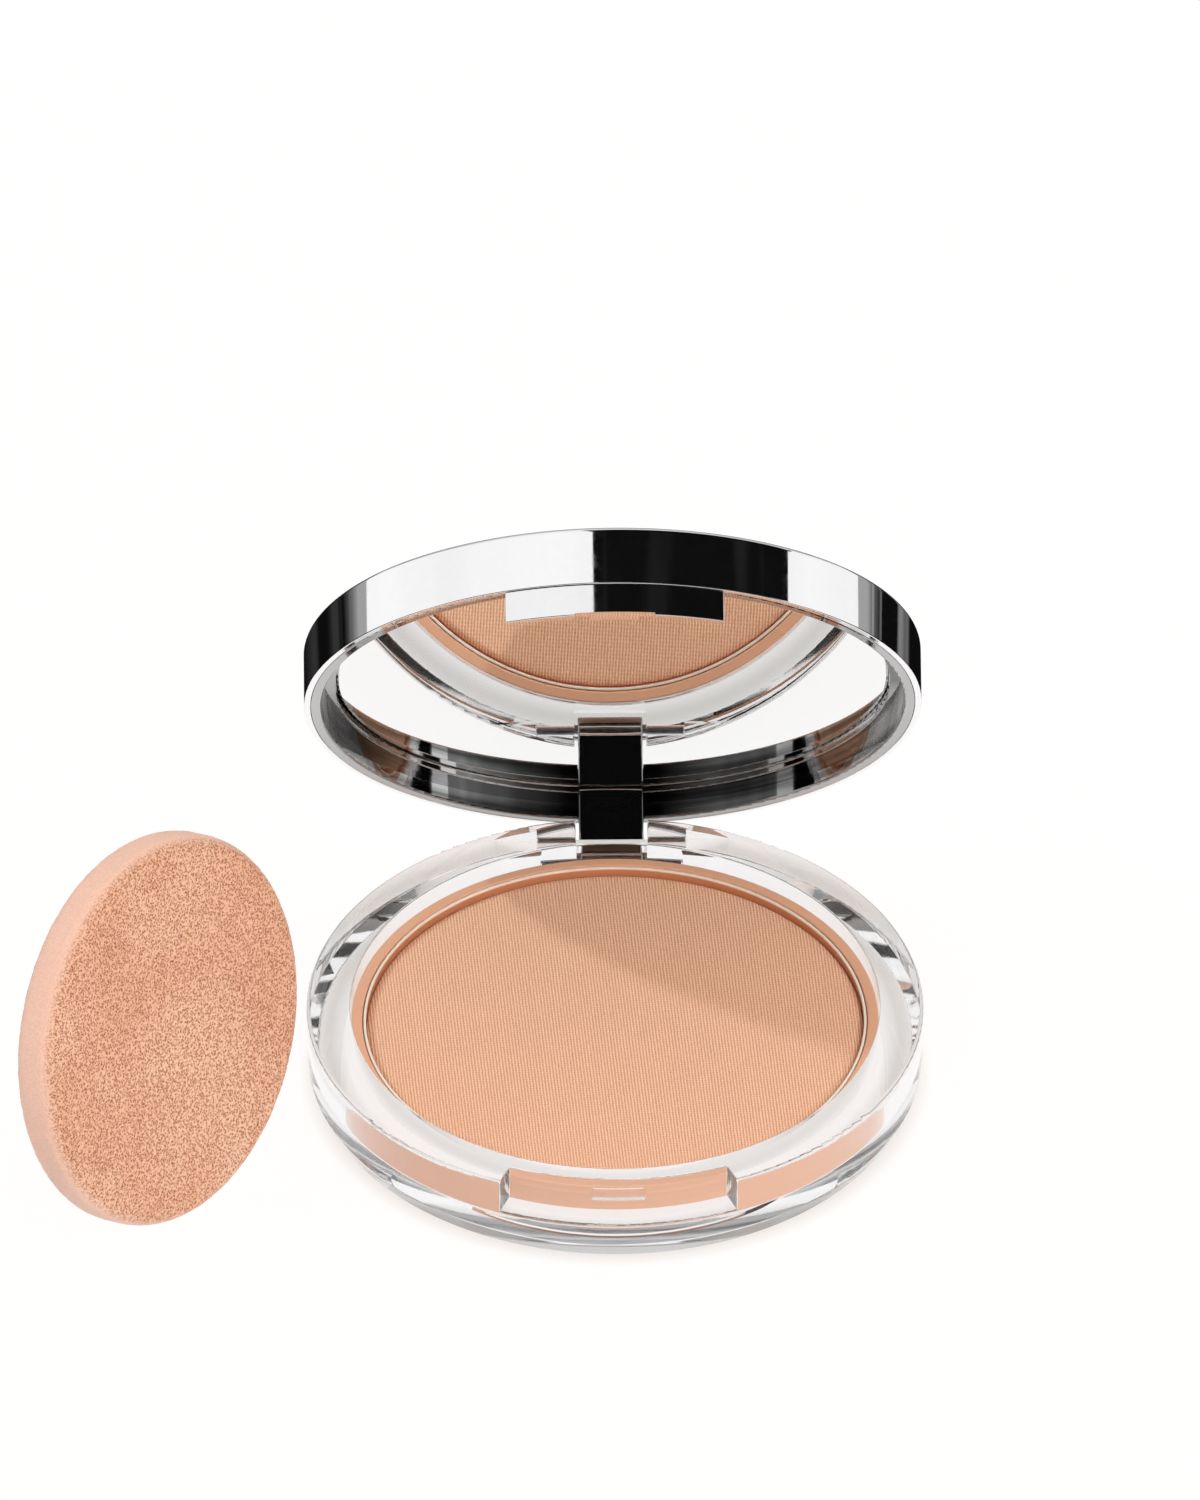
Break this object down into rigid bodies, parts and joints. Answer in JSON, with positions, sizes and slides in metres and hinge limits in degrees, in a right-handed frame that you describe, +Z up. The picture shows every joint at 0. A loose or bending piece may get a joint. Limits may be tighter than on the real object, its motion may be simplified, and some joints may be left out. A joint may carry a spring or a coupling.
{
  "type": "powder compact",
  "caption": "Round clear-based powder compact with a chromed hinged mirror lid, a pan of pressed powder and a loose round foam sponge.",
  "frame": {"origin": "centre of the base's flat underside", "axes": "+Z up from the resting face, +Y from the latch towards the hinge, +X along the hinge pin"},
  "size_m": [0.113, 0.091, 0.0772],
  "materials": {
    "clear_plastic": "clear, polished",
    "pin_steel": "bright drawn wire",
    "label_paper": "blank white label, satin",
    "cup_plastic": "peach, satin gloss",
    "glue": "soft adhesive",
    "pan_metal": "bright tin-like pan",
    "powder": "pressed powder with a fine woven press mark",
    "plated_plastic": "mirror-bright chrome plating over plastic",
    "mirror_glass": "silvered glass",
    "foam_tape": "double-sided foam tape",
    "sponge_foam": "fine open foam"
  },
  "bodies": {
    "base": {"base_shell": "clear_plastic", "hinge_pin": "pin_steel", "base_label": "label_paper", "powder_cup": "cup_plastic", "pan_glue": "glue", "powder_pan": "pan_metal", "pressed_powder": "powder"},
    "lid": {"lid_shell": "plated_plastic", "lid_frame": "plated_plastic", "latch_tab": "plated_plastic", "hinge_arm": "plated_plastic", "mirror": "mirror_glass", "mirror_tape": "foam_tape"},
    "sponge": {"sponge_applicator": "sponge_foam"}
  },
  "joints": [
    {"name": "lid_hinge", "type": "hinge", "parent": "base", "child": "lid", "pos_m": [0, 0.0365, 0.006], "axis": [-1, 0, 0], "range_deg": [-60.6, 44.4]},
    {"name": "sponge_lift", "type": "slide", "parent": "base", "child": "sponge", "axis": [0, 0, 1], "range_m": [0, 0.06]}
  ]
}
